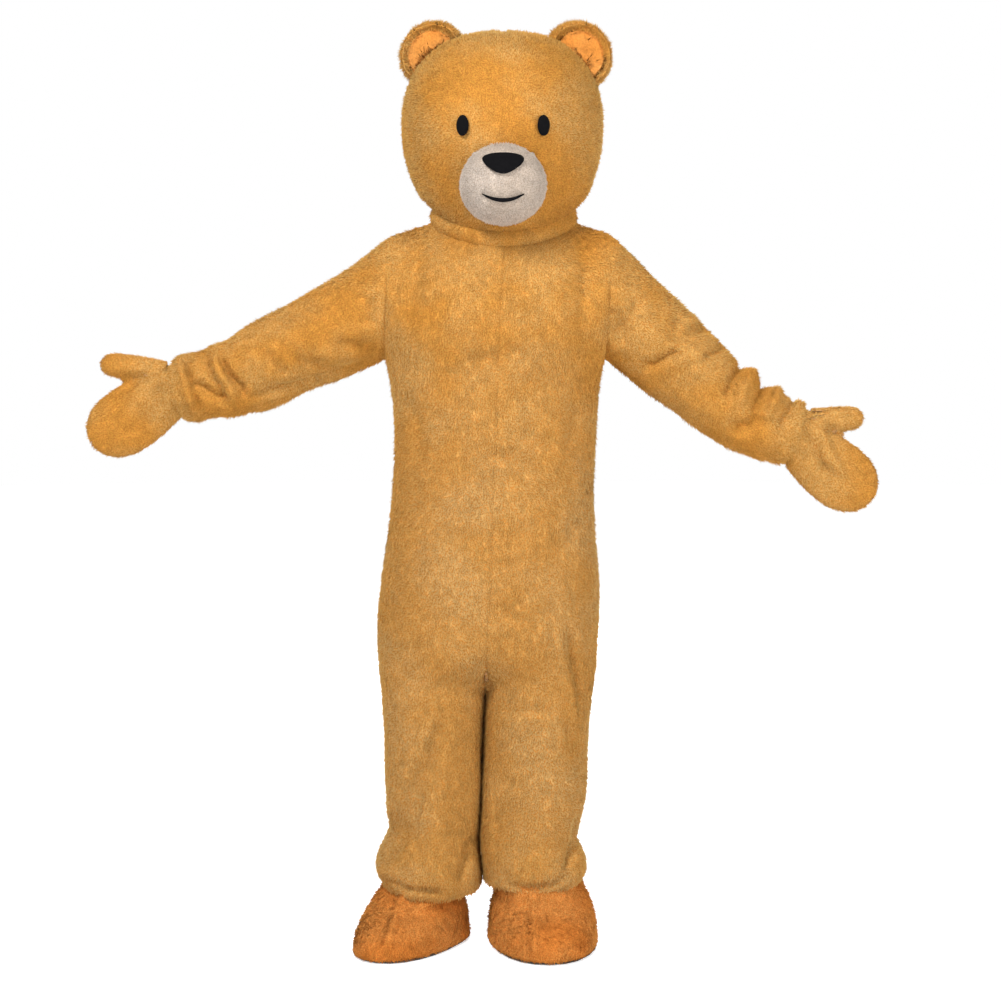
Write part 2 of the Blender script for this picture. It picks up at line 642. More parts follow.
LEG_FOLDS = {
    "body_front_left": [
        (FRONT, TROUGH, 0.015, 0.007, [(-0.090, 0.500), (-0.130, 0.380), (-0.180, 0.260), (-0.236, 0.180)]),
        (FRONT, RIDGE, 0.012, 0.005, [(-0.120, 0.480), (-0.156, 0.390), (-0.200, 0.290), (-0.236, 0.220)]),
        (FRONT, TROUGH, 0.009, 0.007, [(-0.128, 0.330), (-0.170, 0.240), (-0.206, 0.190), (-0.240, 0.150)]),
        (FRONT, RIDGE, 0.009, 0.004, [(-0.160, 0.220), (-0.196, 0.176), (-0.244, 0.142)]),
        (FRONT, TROUGH, 0.008, 0.005, [(-0.230, 0.140), (-0.170, 0.122), (-0.090, 0.116)]),
        (FRONT, TROUGH, 0.008, 0.006, [(-0.044, 0.230), (-0.054, 0.180), (-0.074, 0.130)]),
    ],
    "body_front_right": [
        (FRONT, TROUGH, 0.010, 0.010, [(0.140, 0.650), (0.156, 0.560), (0.172, 0.500), (0.176, 0.440)]),
        (FRONT, RIDGE, 0.014, 0.005, [(0.112, 0.640), (0.130, 0.560), (0.146, 0.480), (0.150, 0.420)]),
        (FRONT, TROUGH, 0.014, 0.007, [(0.130, 0.540), (0.142, 0.460), (0.160, 0.380), (0.170, 0.300)]),
        (FRONT, TROUGH, 0.009, 0.011, [(0.166, 0.270), (0.162, 0.220), (0.146, 0.180), (0.130, 0.156)]),
        (FRONT, RIDGE, 0.012, 0.006, [(0.180, 0.240), (0.178, 0.196), (0.162, 0.162)]),
        (FRONT, TROUGH, 0.008, 0.006, [(0.160, 0.160), (0.110, 0.130), (0.050, 0.122), (0.010, 0.140)]),
        (FRONT, TROUGH, 0.010, 0.005, [(-0.010, 0.660), (0.040, 0.690), (0.090, 0.720)]),
        (FRONT, TROUGH, 0.010, 0.004, [(0.020, 0.646), (0.070, 0.660), (0.130, 0.690)]),
        (FRONT, TROUGH, 0.010, 0.004, [(0.000, 0.490), (0.060, 0.480), (0.130, 0.486)]),
    ],
    "body_back_left": [
        (BACK, TROUGH, 0.020, 0.009, [(-0.190, 0.560), (-0.130, 0.530), (-0.050, 0.545)]),
        (BACK, TROUGH, 0.014, 0.009, [(-0.230, 0.210), (-0.160, 0.160), (-0.050, 0.150)]),
        (BACK, TROUGH, 0.012, 0.007, [(-0.100, 0.340), (-0.160, 0.270), (-0.230, 0.220)]),
    ],
    "body_back_right": [
        (BACK, TROUGH, 0.020, 0.009, [(0.160, 0.550), (0.110, 0.520), (0.020, 0.540)]),
        (BACK, TROUGH, 0.014, 0.009, [(0.000, 0.160), (0.090, 0.150), (0.180, 0.210)]),
        (BACK, TROUGH, 0.012, 0.007, [(0.060, 0.330), (0.120, 0.250), (0.180, 0.230)]),
    ],
}
BODY_FOLDS = {
    "body_front": [
        (FRONT, TROUGH, 0.016, 0.005, [(-0.080, 1.160), (0.000, 1.166), (0.060, 1.196)]),
        (FRONT, TROUGH, 0.012, 0.005, [(-0.060, 1.010), (-0.010, 0.980), (0.060, 0.964), (0.120, 0.970)]),
        (FRONT, RIDGE, 0.012, 0.003, [(-0.040, 1.024), (0.010, 1.000), (0.070, 0.986)]),
        (FRONT, TROUGH, 0.014, 0.004, [(-0.040, 0.800), (0.020, 0.820), (0.080, 0.850)]),
        (FRONT, TROUGH, 0.010, 0.003, [(-0.070, 0.950), (0.000, 0.940), (0.060, 0.940)]),
    ],
    "body_front_left": [
        (FRONT, TROUGH, 0.016, 0.004, [(-0.130, 1.120), (-0.070, 1.130), (-0.020, 1.150)]),
        (FRONT, TROUGH, 0.020, 0.005, [(-0.200, 1.120), (-0.160, 1.040), (-0.150, 0.940)]),
    ],
    "body_front_right": [
        (FRONT, TROUGH, 0.010, 0.005, [(0.040, 1.034), (0.080, 1.004), (0.130, 0.984)]),
        (FRONT, TROUGH, 0.012, 0.005, [(0.170, 0.860), (0.140, 0.812), (0.100, 0.790)]),
        (FRONT, TROUGH, 0.020, 0.005, [(0.190, 1.150), (0.160, 1.060), (0.140, 0.960)]),
    ],
    "body_back_left": [
        (BACK, TROUGH, 0.024, 0.008, [(-0.190, 1.140), (-0.140, 1.010), (-0.100, 0.880)]),
        (BACK, TROUGH, 0.018, 0.006, [(-0.170, 0.900), (-0.110, 0.850), (-0.040, 0.840)]),
    ],
    "body_back_right": [
        (BACK, TROUGH, 0.024, 0.008, [(0.180, 1.140), (0.130, 1.000), (0.090, 0.860)]),
        (BACK, TROUGH, 0.018, 0.006, [(0.170, 0.880), (0.120, 0.830), (0.050, 0.830)]),
    ],
}
BOOT_FOLDS = {
    "boot": [
        (ROUND, RIDGE, 0.007, 0.006, [(-0.176, 0.130), (-0.196, 0.085), (-0.216, 0.020)]),
        (ROUND, RIDGE, 0.007, 0.006, [(0.075, 0.135), (0.071, 0.070), (0.075, 0.010)]),
    ],
}
FOLD_TABLES = (SLEEVE_FOLDS, HAND_FOLDS, LEG_FOLDS, BODY_FOLDS, BOOT_FOLDS)
print("folds:", sum(len(folds) for table in FOLD_TABLES for folds in table.values()))

# %% [markdown]
# A fold is deepest on its line and dies away to both sides as a bell curve does. The distance from
# a point of the cloth to the line is measured in the view that the fold was drawn in, and a fold
# that was drawn from the front leaves the cloth that faces backwards alone.

# %% Pressing the folds
FAR = 9.0
FADE, FOLD_GAIN = 0.22, 1.5
FACING_FROM, FACING_TO = 0.0, 0.35


def folds_of(name):
    for table in FOLD_TABLES:
        for part, folds in table.items():
            if name.startswith(part):
                yield from folds


def along_line(points, line):
    """Distance from each point to the line as seen, and how far along it lies from 0 to 1."""
    seen = points[:, [0, 2]]
    corners = np.array([(across, above + FLOOR_Z) for across, above in line])
    lengths = np.linalg.norm(np.diff(corners, axis=0), axis=1)
    nearest, along = np.full(len(seen), FAR), np.zeros(len(seen))
    for index, length in enumerate(lengths):
        start, step = corners[index], corners[index + 1] - corners[index]
        share = np.clip((seen - start) @ step / length**2, 0, 1)
        distance = np.linalg.norm(seen - start - share[:, None] * step, axis=1)
        closer = distance < nearest
        nearest = np.where(closer, distance, nearest)
        place = (lengths[:index].sum() + share * length) / lengths.sum()
        along = np.where(closer, place, along)
    return nearest, along


def press_folds(name, points, normals):
    moved = np.zeros(len(points))
    for seen_from, way, width, depth, line in folds_of(name):
        distance, along = along_line(points, line)
        ends = ramp(along, 0, FADE) * ramp(1 - along, 0, FADE)
        facing = 1 if seen_from == ROUND else ramp(normals[:, 1] * seen_from, FACING_FROM, FACING_TO)
        moved += way * FOLD_GAIN * depth * np.exp(-((distance / width) ** 2)) * ends * facing
    return moved


# %% [markdown]
# The pile stands on the backing, so the backing lies deeper than the wall's outer face by the
# height of the pile. Along a seam the needle pulls it in a little more. Beside the zip, between
# the legs and at the soles, where it lies close to something else, it sinks less. Slow noise keeps
# any stretch from being perfectly even, as no hand-cut plush is.

# %% Settling the cloth
PILE_DEPTH = 0.0052
SEAM_DEPTH, SEAM_WIDTH = 0.0016, 0.008
PUCKER, SOFT_PUCKER, PUCKER_SCALE = 0.0022, 0.001, 11.0
INSEAM_X, INSEAM_REACH = -0.030, 0.030
CROTCH_HEIGHT, KNEE_HEIGHT, KNEE_FULL = 0.50, 0.38, 0.0030
SOLE_FROM, SOLE_NEAR = 0.002, 0.030
INSEAM_DEPTH, ZIP_DEPTH = 0.0012, 0.0030
ZIP_LEFT, ZIP_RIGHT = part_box("zip_tape_left"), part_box("zip_tape_right")
ZIP_X = (ZIP_LEFT[0][0], ZIP_RIGHT[1][0])
ZIP_Z = (min(ZIP_LEFT[0][2], ZIP_RIGHT[0][2]), max(ZIP_LEFT[1][2], ZIP_RIGHT[1][2]))
ZIP_REACH = 0.02
HAND_CLEAR = 0.016


def pucker(points):
    return np.array([noise.noise(Vector(point) * PUCKER_SCALE) for point in points])


def from_zip(points):
    return np.maximum(ZIP_X[0] - points[:, 0], points[:, 0] - ZIP_X[1])


def beside_zip(name, points):
    if not name.startswith("body_back"):
        return np.zeros(len(points))
    return ramp(ZIP_REACH - from_zip(points), 0, ZIP_REACH) * (points[:, 2] > ZIP_Z[0] - ZIP_REACH)


def inside_leg(name, points):
    if not name.startswith("body"):
        return np.zeros(len(points))
    below = ramp(FLOOR_Z + CROTCH_HEIGHT - points[:, 2], -INSEAM_REACH, INSEAM_REACH)
    return below * ramp(INSEAM_REACH - abs(points[:, 0] - INSEAM_X), 0, INSEAM_REACH / 2)


def skin_of(names):
    bm = bmesh.new()
    for name in names:
        bm.from_mesh(cloth[name].data)
    tree = BVHTree.FromBMesh(bm)
    bm.free()
    return tree


def over_skin(tree, points):
    """How far each point stands out from a skin, and which way out is. Inside it is negative."""
    found = [tree.find_nearest(point) for point in points]
    outward = np.array([normal for _, normal, _, _ in found])
    return np.sum((points - np.array([place for place, _, _, _ in found])) * outward, axis=1), outward


def settle(name, piece, puckered=PUCKER):
    mesh = piece.data
    points, normals = points_of(mesh), normals_of(mesh)
    distance = np.full(len(points), FAR)
    if name in family_of:
        nearest, distance = seam_nearest(name, points)
        weight = np.exp(-((distance / SEAM_BLEND) ** 2))[:, None]
        normals = unit(normals * (1 - weight) + seam_normal[name][nearest] * weight)
        points[edge_of[name]] = seam_line[name]
    zip_side, inseam = beside_zip(name, points), inside_leg(name, points)
    free = (1 - zip_side) * (1 - inseam)
    knee = ramp(FLOOR_Z + KNEE_HEIGHT - points[:, 2], 0, 2 * INSEAM_REACH)
    depth = PILE_DEPTH + (INSEAM_DEPTH - KNEE_FULL * knee - PILE_DEPTH) * inseam
    if name.startswith("boot"):
        depth *= ramp(points[:, 2] - FLOOR_Z, SOLE_FROM, SOLE_NEAR)
    depth += (ZIP_DEPTH - depth) * zip_side
    pressed = press_folds(name, points, normals)
    if name.startswith("mitten"):
        pressed *= ramp(distance, 0, HAND_CLEAR)
    moved = pressed - depth
    moved -= SEAM_DEPTH * np.exp(-((distance / SEAM_WIDTH) ** 2)) * free
    moved += puckered * pucker(points) * free
    set_points(mesh, points + normals * moved[:, None])
    return distance


edge_gap = {}
for name in cloth:
    edge_gap[name] = settle(name, cloth[name], PUCKER if name in family_of else SOFT_PUCKER)
print("cloth settled")

# %% [markdown]
# The ears and the muzzle are sewn to the head, so their lower edges are drawn into it. The ear
# linings are stuffed a little, and swell towards the front.

# %% Sewing ears and muzzle to the head
SEWN_NEAR, SEWN_DEEP = 0.024, 0.015
LINING_SWELL, LINING_SLOPE = 0.007, 0.8
settled_head = skin_of(GORES)
for name in EARS + ["muzzle"]:
    mesh = cloth[name].data
    points = points_of(mesh)
    if "lining" in name:
        low, high = points.min(axis=0), points.max(axis=0)
        off = (points - (low + high) / 2)[:, [0, 2]] / ((high - low)[[0, 2]] / 2)
        points[:, 1] -= LINING_SWELL * ramp(1 - np.linalg.norm(off, axis=1), 0, LINING_SLOPE)
    height, outward = over_skin(settled_head, points)
    points -= outward * (SEWN_DEEP * ramp(SEWN_NEAR - height, 0, SEWN_NEAR))[:, None]
    set_points(mesh, points)
print("ears and muzzle sewn on")

# %% [markdown]
# Pile is combed: down the body, along the arms to the fingers, away from the nose on the face and
# towards the toes on the boots. Each point of the cloth gets the direction in which its pile lies,
# turned a little by slow noise, so that the light breaks up as it does on brushed plush.

# %% Combing
DOWN = np.array((0.0, 0.0, -1.0))
SWIRL, SWIRL_SCALE, SWIRL_PLACE = math.radians(68), 9.0, Vector((7, 3, 5))
ARM_DROOP, FACE_DROOP, SOLE_DROOP = 0.25, 0.35, 3
SHOULDER_OUT = 0.5
TOE_WAY, EAR_LIFT = np.array((0.0, -1.0, -0.35)), np.array((0.0, 0.0, 0.02))


def middle_of(node_name):
    low, high = (np.array(corner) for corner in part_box(node_name))
    return (low + high) / 2


NOSE = middle_of("nose")
HAND_WAY = {side: unit(middle_of(f"mitten_palm_{side}") - middle_of(f"sleeve_{side}")) for side in SIDES}


def comb_way(name, points, normals):
    side = name.rsplit("_", 1)[-1]
    if name.startswith(("sleeve", "mitten")):
        way = np.tile(HAND_WAY[side], (len(points), 1)) + ARM_DROOP * DOWN
    elif name.startswith("boot"):
        near_floor = ramp(FLOOR_Z + SOLE_NEAR - points[:, 2], 0, SOLE_NEAR)[:, None]
        way = TOE_WAY + near_floor * SOLE_DROOP * DOWN
    elif name.startswith("ear"):
        way = points - middle_of(f"ear_lining_{side}") + EAR_LIFT
    elif name.startswith(("face", "muzzle", "head")):
        way = unit(points - NOSE) + FACE_DROOP * DOWN
    else:
        way = DOWN + SHOULDER_OUT * unit(points * (1, 1, 0))
    swirl = np.array([noise.noise(Vector(point) * SWIRL_SCALE + SWIRL_PLACE) for point in points])
    way = unit(way - normals * np.sum(way * normals, axis=1, keepdims=True))
    turn = swirl[:, None] * SWIRL
    return way * np.cos(turn) + np.cross(normals, way) * np.sin(turn)


print("pile combed away from the nose at", np.round(NOSE, 3))

# %% [markdown]
# The pile itself is thousands of small locks. One lock is a spike of three faces, wide at the root
# and open where it stands in the cloth, and it comes to a point. It is made once, a unit long and a
# unit wide, and takes its real size where it is planted.

# %% One lock of pile
SPINE_RISE = 0.55
LOCK_PLACES = ((0, -0.5, 0), (0, 0.5, 0), (SPINE_RISE, 0, 0), (0, 0, 1))
lock_bm = bmesh.new()
left_root, right_root, spine, point = (lock_bm.verts.new(place) for place in LOCK_PLACES)
lock_bm.faces.new((left_root, spine, point))
lock_bm.faces.new((spine, right_root, point))
lock_bm.faces.new((right_root, left_root, point))
lock = from_bmesh("pile_lock", lock_bm)
store(lock.data, "tip", "FLOAT", points_of(lock.data)[:, 2])
print("lock:", len(lock.data.vertices), "points,", len(lock.data.polygons), "faces")


# %% [markdown]
# Geometry Nodes scatters the lock evenly over the cloth, lays it along the combing with its open
# side to the cloth, and makes the instances real, so that the result is plain mesh. Neighbouring
# locks lean together in clumps, as the fibres of a used plush do, and no two are quite as long.

# %% Scattering the locks
CLUMP_FINE, CLUMPING, JITTER = 90.0, 2.5, 0.26
CLOSE_PACKED = 1.1
SHORTEST, LONGEST, NARROWEST, WIDEST = 0.75, 1.25, 0.8, 1.2


def named_field(group, name, kind="FLOAT_VECTOR"):
    field = add_node(group, "GeometryNodeInputNamedAttribute", {"Name": name}, data_type=kind)
    return field.outputs["Attribute"]


def vector_maths(group, how, inputs):
    return add_node(group, "ShaderNodeVectorMath", inputs, operation=how).outputs[0]


def random_vector(group, reach, seed):
    inputs = {0: (-reach,) * 3, 1: (reach,) * 3, "Seed": seed}
    return add_node(group, "FunctionNodeRandomValue", inputs, data_type="FLOAT_VECTOR").outputs[0]


def random_number(group, low, high, seed):
    inputs = {2: low, 3: high, "Seed": seed}
    return add_node(group, "FunctionNodeRandomValue", inputs, data_type="FLOAT").outputs[1]


def keep_field(group, geometry, name, value, kind, domain):
    inputs = {"Geometry": geometry, "Name": name, "Value": value}
    node = add_node(group, "GeometryNodeStoreNamedAttribute", inputs, data_type=kind, domain=domain)
    return node.outputs["Geometry"]


def lean_of_lock(group, skin, rise, seed):
    clump = add_node(group, "ShaderNodeTexNoise", {"Scale": CLUMP_FINE, "Detail": 1.0})
    drawn = vector_maths(group, "SUBTRACT", {0: clump.outputs["Color"], 1: (0.5, 0.5, 0.5)})
    drawn = vector_maths(group, "SCALE", {0: drawn, "Scale": CLUMPING})
    jitter = vector_maths(group, "ADD", {0: random_vector(group, JITTER, seed), 1: drawn})
    raised = vector_maths(group, "SCALE", {0: skin, "Scale": rise})
    lean = vector_maths(group, "ADD", {0: raised, 1: named_field(group, "comb")})
    lean = vector_maths(group, "ADD", {0: lean, 1: jitter})
    return vector_maths(group, "NORMALIZE", {0: lean})


def pile_scatter(name, spacing, length, width, rise, seed):
    group = bpy.data.node_groups.new(name, "GeometryNodeTree")
    group.interface.new_socket("Cloth", in_out="INPUT", socket_type="NodeSocketGeometry")
    group.interface.new_socket("Pile", in_out="OUTPUT", socket_type="NodeSocketGeometry")
    start, end = (group.nodes.new("NodeGroup" + way) for way in ("Input", "Output"))
    scatter = add_node(group, "GeometryNodeDistributePointsOnFaces", {
        "Mesh": start.outputs[0],
        "Distance Min": spacing,
        "Density Max": CLOSE_PACKED / spacing**2,
        "Density Factor": named_field(group, "grow", "FLOAT"),
        "Seed": seed,
    }, distribute_method="POISSON")
    found, normal = scatter.outputs["Points"], scatter.outputs["Normal"]
    points = keep_field(group, found, "skin", normal, "FLOAT_VECTOR", "POINT")
    skin = named_field(group, "skin")
    turn = add_node(group, "FunctionNodeAxesToRotation", {
        "Primary Axis": lean_of_lock(group, skin, rise, seed + 1), "Secondary Axis": skin,
    }, primary_axis="Z", secondary_axis="X")
    full = random_number(group, SHORTEST * length, LONGEST * length, seed + 2)
    size = add_node(group, "ShaderNodeCombineXYZ", {
        "X": width,
        "Y": random_number(group, NARROWEST * width, WIDEST * width, seed + 3),
        "Z": maths(group, "MULTIPLY", named_field(group, "pile", "FLOAT"), full),
    })
    source = add_node(group, "GeometryNodeObjectInfo", {"Object": lock})
    spread = add_node(group, "GeometryNodeInstanceOnPoints", {
        "Points": points,
        "Instance": source.outputs["Geometry"],
        "Rotation": turn.outputs["Rotation"],
        "Scale": size.outputs[0],
    })
    shade = random_number(group, 0.0, 1.0, seed + 4)
    shaded = keep_field(group, spread.outputs["Instances"], "shade", shade, "FLOAT", "INSTANCE")
    real = add_node(group, "GeometryNodeRealizeInstances", {"Geometry": shaded})
    feed(group, end, {0: real.outputs["Geometry"]})
    return group


# %% [markdown]
# A spike lit by its own flat sides glitters like glass. Real pile is round and soft, so each
# lock borrows most of its normals from the cloth below it, and only leans them a little its own way.

# %% Growing the pile
SOFTNESS = 0.55
OFF_FLOOR = 0.0004


def read_vectors(mesh, name):
    flat = np.empty(len(mesh.vertices) * 3, np.float32)
    mesh.attributes[name].data.foreach_get("vector", flat)
    return flat.reshape(-1, 3).astype(float)


def grow_pile(name, material, spacing, length, width, rise, seed):
    skin = cloth[name]
    pile = new_piece(name + "_pile", skin.data.copy())
    scatter = pile.modifiers.new("scatter", "NODES")
    scatter.node_group = pile_scatter(name + "_scatter", spacing, length, width, rise, seed)
    mesh = apply_modifiers(pile)
    points = points_of(mesh)
    points[:, 2] = np.maximum(points[:, 2], FLOOR_Z + OFF_FLOOR)
    set_points(mesh, points)
    own, below = normals_of(mesh), read_vectors(mesh, "skin")
    soft = unit(own * (1 - SOFTNESS) + below * SOFTNESS)
    for extra in ("skin", "comb", "grow", "pile"):
        mesh.attributes.remove(mesh.attributes[extra])
    mesh.polygons.foreach_set("use_smooth", [True] * len(mesh.polygons))
    mesh.normals_split_custom_set_from_vertices(soft)
    mesh.materials.clear()
    mesh.materials.append(material)
    return pile


print("softness of the pile's light:", SOFTNESS)

# %% [markdown]
# Where the pile grows, and how long, is painted on the cloth first: none under the zip's tapes or
# where an ear or the muzzle goes into the head, and short beside the zip and along the seams, which
# a maker picks out and trims. The bare cloth under the pile takes a middling shade.

# %% Where the pile grows
ZIP_BARE, ZIP_CLEAR, ZIP_TRIMMED, ZIP_MARGIN = 0.0018, 0.006, 0.030, 0.010
SEAM_PILE, SEAM_TRIMMED, ZIP_PILE = 0.72, 0.014, 0.45
HEAD_NEAR, HEAD_CLEAR = -0.001, 0.002
CLOTH_SHADE, CLOTH_TIP = 0.4, 0.45
head_skin = skin_of(GORES)


def prepare(name):
    mesh = cloth[name].data
    points, normals = points_of(mesh), normals_of(mesh)
    distance = edge_gap[name]
    grow = np.ones(len(points))
    pile = SEAM_PILE + (1 - SEAM_PILE) * ramp(distance, 0.0, SEAM_TRIMMED)
    if name.startswith("body_back"):
        off, height = from_zip(points), points[:, 2]
        along_zip = (height > ZIP_Z[0] - ZIP_MARGIN) & (height < ZIP_Z[1] + ZIP_MARGIN)
        grow = np.where(along_zip, ramp(off, ZIP_BARE, ZIP_CLEAR), grow)
        trimmed = ZIP_PILE + (1 - ZIP_PILE) * ramp(off, ZIP_CLEAR, ZIP_TRIMMED)
        pile = np.where(along_zip, pile * trimmed, pile)
    if name.startswith(("ear", "muzzle")):
        grow = ramp(over_skin(head_skin, points)[0], HEAD_NEAR, HEAD_CLEAR)
    store(mesh, "comb", "FLOAT_VECTOR", comb_way(name, points, normals))
    store(mesh, "grow", "FLOAT", grow)
    store(mesh, "pile", "FLOAT", pile)
    store(mesh, "shade", "FLOAT", np.full(len(points), CLOTH_SHADE))
    store(mesh, "tip", "FLOAT", np.full(len(points), CLOTH_TIP))


print("bare beside the zip:", round(1000 * ZIP_BARE, 1), "mm")

# %% [markdown]
# Each piece has a finish, and a pile of its own: longer on the body and the ears, finer and more
# upright on the head, and shortest on the muzzle.

# %% Planting every piece
MATERIAL_OF = {name: HONEY for name in cloth}
MATERIAL_OF.update({name: BODY for name in PANELS if name.startswith("body")})
MATERIAL_OF.update({name: RUST for name in BOOTS})
MATERIAL_OF.update({name: LINING for name in EARS if "lining" in name})
MATERIAL_OF["muzzle"] = CREAM

# spacing, length, width, rise from the cloth
BODY_PILE = (0.0026, 0.0088, 0.0030, 0.62)
HEAD_PILE = (0.0023, 0.0080, 0.0027, 0.75)
HAND_PILE = (0.0025, 0.0086, 0.0028, 0.68)
SMALL_PILE = (0.0021, 0.0062, 0.0025, 0.90)
EAR_PILE = (0.0022, 0.0095, 0.0028, 0.70)
PILE_OF = {name: BODY_PILE for name in PANELS + ["neck_band"]}
PILE_OF.update({name: HAND_PILE for name in MITTENS + BOOTS})
PILE_OF.update({name: HEAD_PILE for name in GORES})
PILE_OF.update({name: EAR_PILE for name in EARS})
PILE_OF["muzzle"] = SMALL_PILE

SEEDS_EACH = 10
piles = {}
for number, name in enumerate(sorted(cloth)):
    prepare(name)
    piles[name] = grow_pile(name, MATERIAL_OF[name], *PILE_OF[name], number * SEEDS_EACH)
bpy.data.objects.remove(lock)
print("locks:", sum(len(pile.data.polygons) for pile in piles.values()) // 3)

# %% [markdown]
# Now the cloth gets its thickness: two millimetres of knit for the suit and mittens, and seven of
# knit and foam for the head and boots. Solidify adds the inner face and closes the rim, and both
# take the second material. The ears and the muzzle are stuffed, closed forms and need no wall.

# %% Thickness
CLOTH_THICK = 0.002
FOAM_THICK = 0.007


def thicken(name, thickness):
    piece = cloth[name]
    piece.data.materials.clear()
    piece.data.materials.append(MATERIAL_OF[name])
    piece.data.materials.append(BACKING)
    wall = piece.modifiers.new("thickness", "SOLIDIFY")
    wall.thickness = thickness
    wall.offset = -1
    wall.material_offset = wall.material_offset_rim = 1
    apply_modifiers(piece)


for name in PANELS + MITTENS + ["neck_band"]:
    thicken(name, CLOTH_THICK)
for name in GORES + BOOTS:
    thicken(name, FOAM_THICK)
for name in EARS + ["muzzle"]:
    cloth[name].data.materials.clear()
    cloth[name].data.materials.append(MATERIAL_OF[name])
print("cloth thickened")

# %% [markdown]
# Eyes, nose and mouth are black felt. Their forms are right in the model, so a copy is merged and
# smoothed, and only the finish is new.

# %% Felt pieces
FELT_FIRM = 0.6
felt = {}
for name in ("eye_left", "eye_right", "nose", "mouth"):
    felt[name] = whole_form(name, LEVELS, FELT_FIRM)
    felt[name].name = name + "_felt"
    felt[name].data.materials.clear()
    felt[name].data.materials.append(FELT)
print("felt pieces:", len(felt))

# %% [markdown]
# What the model already shapes well keeps its own mesh and only gets a finish: the flat soles, the
# tapes and the cast metal of the slider and its pull tab.

# %% Finishing carried-over parts
CARRIED_OVER = {"zip_slider": METAL, "zip_pull": METAL}
for side in SIDES:
    CARRIED_OVER[f"boot_sole_{side}"] = SOLE
    CARRIED_OVER[f"zip_tape_{side}"] = TAPE
for name, material in CARRIED_OVER.items():
    for place in nodes[name].material_slots:
        place.material = material
print("finished as they are:", {name: len(nodes[name].material_slots) for name in CARRIED_OVER})

# %% [markdown]
# The zip runs down the back between two woven tapes. Its teeth are small blocks, one row a tape,
# half a step apart so that they mesh below the slider and part above it. A tooth is bevelled once
# and repeated along the edge that the model gives. The tapes are sewn on with a row of thread.

# %% Zip teeth and tape stitches
TOOTH, TOOTH_BEVEL = (0.0030, 0.0018, 0.0016), 0.16
TOOTH_PITCH, TOOTH_BITE, TOOTH_SUNK = 0.0034, 0.0007, 0.0004
STITCH = (0.0006, 0.0004, 0.0015)
STITCH_PITCH, STITCH_IN = 0.0042, 0.0016
ZIP_END = 0.004
SLIDER_LOW, SLIDER_HIGH = (corner[2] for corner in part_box("zip_slider"))


def tape_lines(side, inner):
    """Heights up the tape, with the inner edge, the outer edge and the outer face at each."""
    rows = {}
    for across, out, height in points_of(nodes[f"zip_tape_{side}"].data):
        rows.setdefault(round(height, 4), []).append((across * inner, out))
    heights = sorted(rows)
    inner_edge = [inner * max(across for across, _ in rows[height]) for height in heights]
    outer_edge = [inner * min(across for across, _ in rows[height]) for height in heights]
    face = [max(out for _, out in rows[height]) for height in heights]
    return heights, inner_edge, outer_edge, face


def repeated(name, single, places):
    bm = bmesh.new()
    for place in places:
        before = len(bm.verts)
        bm.from_mesh(single)
        bm.verts.ensure_lookup_table()
        bmesh.ops.translate(bm, verts=bm.verts[before:], vec=place)
    bpy.data.meshes.remove(single)
    return from_bmesh(name, bm)


def small_mesh(bm, size):
    bmesh.ops.scale(bm, verts=bm.verts, vec=size)
    mesh = bpy.data.meshes.new("single")
    bm.to_mesh(mesh)
    bm.free()
    return mesh


def tooth_mesh():
    bm = bmesh.new()
    bmesh.ops.create_cube(bm, size=1)
    bmesh.ops.bevel(
        bm, geom=bm.edges[:], offset=TOOTH_BEVEL, offset_type="OFFSET", affect="EDGES", segments=1,
        profile=0.5, material=-1,
    )
    return small_mesh(bm, TOOTH)


def stitch_mesh():
    bm = bmesh.new()
    bmesh.ops.create_icosphere(bm, subdivisions=1, radius=1)
    return small_mesh(bm, STITCH)


zip_pieces = []
for side, inner in (("left", 1), ("right", -1)):
    heights, inner_edge, outer_edge, face = tape_lines(side, inner)
    teeth, stitches = [], []
    first = heights[0] + ZIP_END + (TOOTH_PITCH / 2 if inner < 0 else 0)
    for height in np.arange(first, heights[-1] - ZIP_END, TOOTH_PITCH):
        if not SLIDER_LOW < height < SLIDER_HIGH:
            bite = TOOTH_BITE if height < SLIDER_LOW else 0
            across = np.interp(height, heights, inner_edge) - inner * (TOOTH[0] / 2 - bite)
            teeth.append((across, np.interp(height, heights, face) + TOOTH[1] / 2 - TOOTH_SUNK, height))
    for height in np.arange(heights[0] + ZIP_END, heights[-1] - ZIP_END, STITCH_PITCH):
        across = np.interp(height, heights, outer_edge) + inner * STITCH_IN
        stitches.append((across, np.interp(height, heights, face), height))
    zip_pieces.append((repeated(f"zip_teeth_{side}", tooth_mesh(), teeth), METAL, "zip_metal"))
    zip_pieces.append((repeated(f"tape_stitches_{side}", stitch_mesh(), stitches), THREAD, "zip_tape"))
    print(side, "tape:", len(teeth), "teeth,", len(stitches), "stitches")

# %% [markdown]
# Below the tapes the two backs stand apart until their seam begins. A maker covers the end of a zip
# with a small patch that tapers down the seam. It starts as a grid, is laid on the outer faces of
# both backs by casting a ray at each, and is then given its thickness.

# %% Fabric stop at the zip's lower end
STOP_ROWS, STOP_COLUMNS = 8, 3
STOP_TOP, STOP_LONG = ZIP_Z[0] + 0.010, 0.078
STOP_WIDE, STOP_NARROW = 0.0150, 0.0040
STOP_X = (-0.0096, -0.0125)
STOP_BESIDE, STOP_SUNK, STOP_THICK = 0.012, 0.0006, 0.0012
WELL_BEHIND = 1.0


def back_face(across, height):
    faces = []
    for side, way in (("left", -1), ("right", 1)):
        start = Vector((across + way * STOP_BESIDE, WELL_BEHIND, height))
        hit = wall_of[f"body_back_{side}"].ray_cast(start, Vector((0, -1, 0)))[0]
        faces.append(hit.y)
    return sum(faces) / 2


